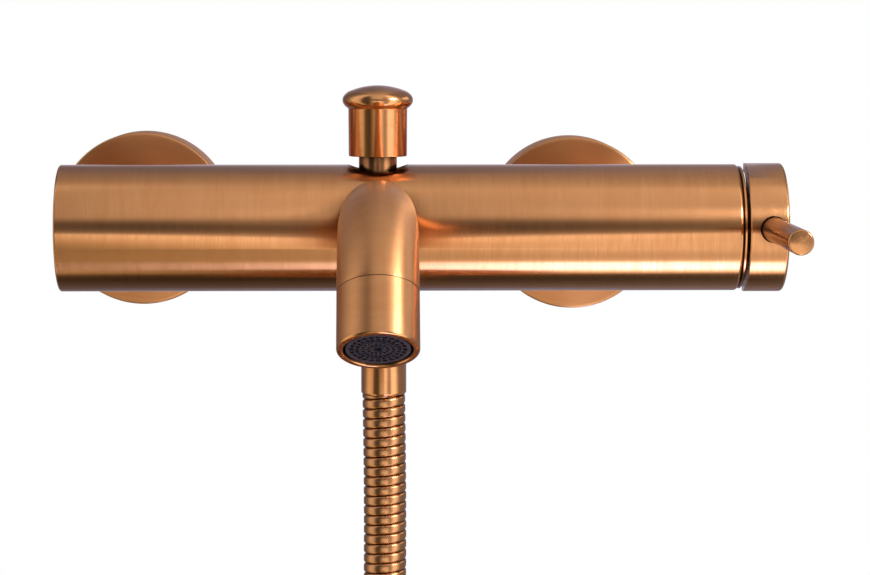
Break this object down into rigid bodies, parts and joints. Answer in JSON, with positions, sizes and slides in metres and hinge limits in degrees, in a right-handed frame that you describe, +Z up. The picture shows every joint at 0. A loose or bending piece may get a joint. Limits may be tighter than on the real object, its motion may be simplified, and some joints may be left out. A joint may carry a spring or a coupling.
{
  "type": "bath mixer",
  "caption": "Wall-mounted single-lever bath mixer: round body, bent spout with aerator, pull-up diverter and a coiled metal shower hose, in a brushed copper colour.",
  "frame": {"origin": "on the hot inlet's axis, at the wall's surface, level with the body's axis", "axes": "+X along the body to the lever's end, +Y into the wall, +Z up"},
  "size_m": [0.2462, 0.1873, 0.3604],
  "materials": {
    "brushed_copper": "brushed, copper-coloured, over brass",
    "hose_copper": "satin, copper-coloured strip-wound metal",
    "brass": "machined",
    "rubber": "matte",
    "foam": "closed-cell foam",
    "cartridge_plastic": "moulded",
    "aerator_plastic": "moulded, dark grey",
    "ceramic": "lapped",
    "steel": "plain",
    "tie_strap": "matte strap"
  },
  "bodies": {
    "mixer": {"body_shell": "brushed_copper", "cover_ring": "brushed_copper", "diverter_sleeve": "brushed_copper", "spout_arm": "brushed_copper", "spout_outlet": "brushed_copper", "rosette_hot": "brushed_copper", "rosette_cold": "brushed_copper", "union_nut_hot": "brushed_copper", "union_nut_cold": "brushed_copper", "outlet_nipple": "brushed_copper", "hose_nut": "brushed_copper", "hose_end_nut": "brushed_copper", "end_plug": "brushed_copper", "inlet_nipple_hot": "brushed_copper", "inlet_nipple_cold": "brushed_copper", "shower_hose": "hose_copper", "shower_hose_coil": "hose_copper", "wall_union_hot": "brass", "wall_union_cold": "brass", "spout_nipple": "brass", "retaining_nut": "brass", "valve_seat_lower": "brass", "valve_seat_upper": "brass", "sleeve_cap": "brass", "hose_ferrule": "brass", "end_plug_o_ring": "rubber", "filter_washer_hot": "rubber", "filter_washer_cold": "rubber", "rod_o_ring": "rubber", "port_seals": "rubber", "hose_washer": "rubber", "hose_end_washer": "rubber", "aerator_seal": "rubber", "sleeve_washer": "rubber", "rosette_seal_hot": "foam", "rosette_seal_cold": "foam", "waterway_core": "cartridge_plastic", "cartridge_housing": "cartridge_plastic", "check_valve": "cartridge_plastic", "aerator_housing": "aerator_plastic", "aerator_grid": "aerator_plastic", "fixed_disc": "ceramic", "return_spring": "steel", "hose_tie": "tie_strap"},
    "temperature": {"cartridge_yoke": "cartridge_plastic", "yoke_pin": "steel"},
    "handle": {"spindle": "brass", "handle_cap": "brushed_copper", "lever_pin": "brushed_copper", "handle_grub_screw": "steel"},
    "disc": {"moving_disc": "ceramic", "disc_carrier": "cartridge_plastic"},
    "diverter": {"diverter_knob": "brushed_copper", "knob_grub_screw": "steel", "diverter_rod": "brass", "diverter_valve": "brass", "valve_washers": "rubber"}
  },
  "joints": [
    {"name": "temperature_turn", "type": "hinge", "parent": "mixer", "child": "temperature", "pos_m": [0.185, -0.065, 0], "axis": [1, 0, 0], "range_deg": [-45, 45]},
    {"name": "lever_tip", "type": "hinge", "parent": "temperature", "child": "handle", "pos_m": [0.185, -0.065, 0], "axis": [0, 0, 1], "range_deg": [0, 12]},
    {"name": "disc_slide", "type": "slide", "parent": "temperature", "child": "disc", "axis": [0, -1, 0], "range_m": [0, 0.00125]},
    {"name": "diverter_pull", "type": "slide", "parent": "mixer", "child": "diverter", "axis": [0, 0, 1], "range_m": [0, 0.007], "stiffness_N_per_m": 120, "springref_m": -0.006, "deforming": ["return_spring"]}
  ],
  "couplings": [
    {"joint": "disc_slide", "follows": "lever_tip", "m_per_rad": 0.0058}
  ]
}
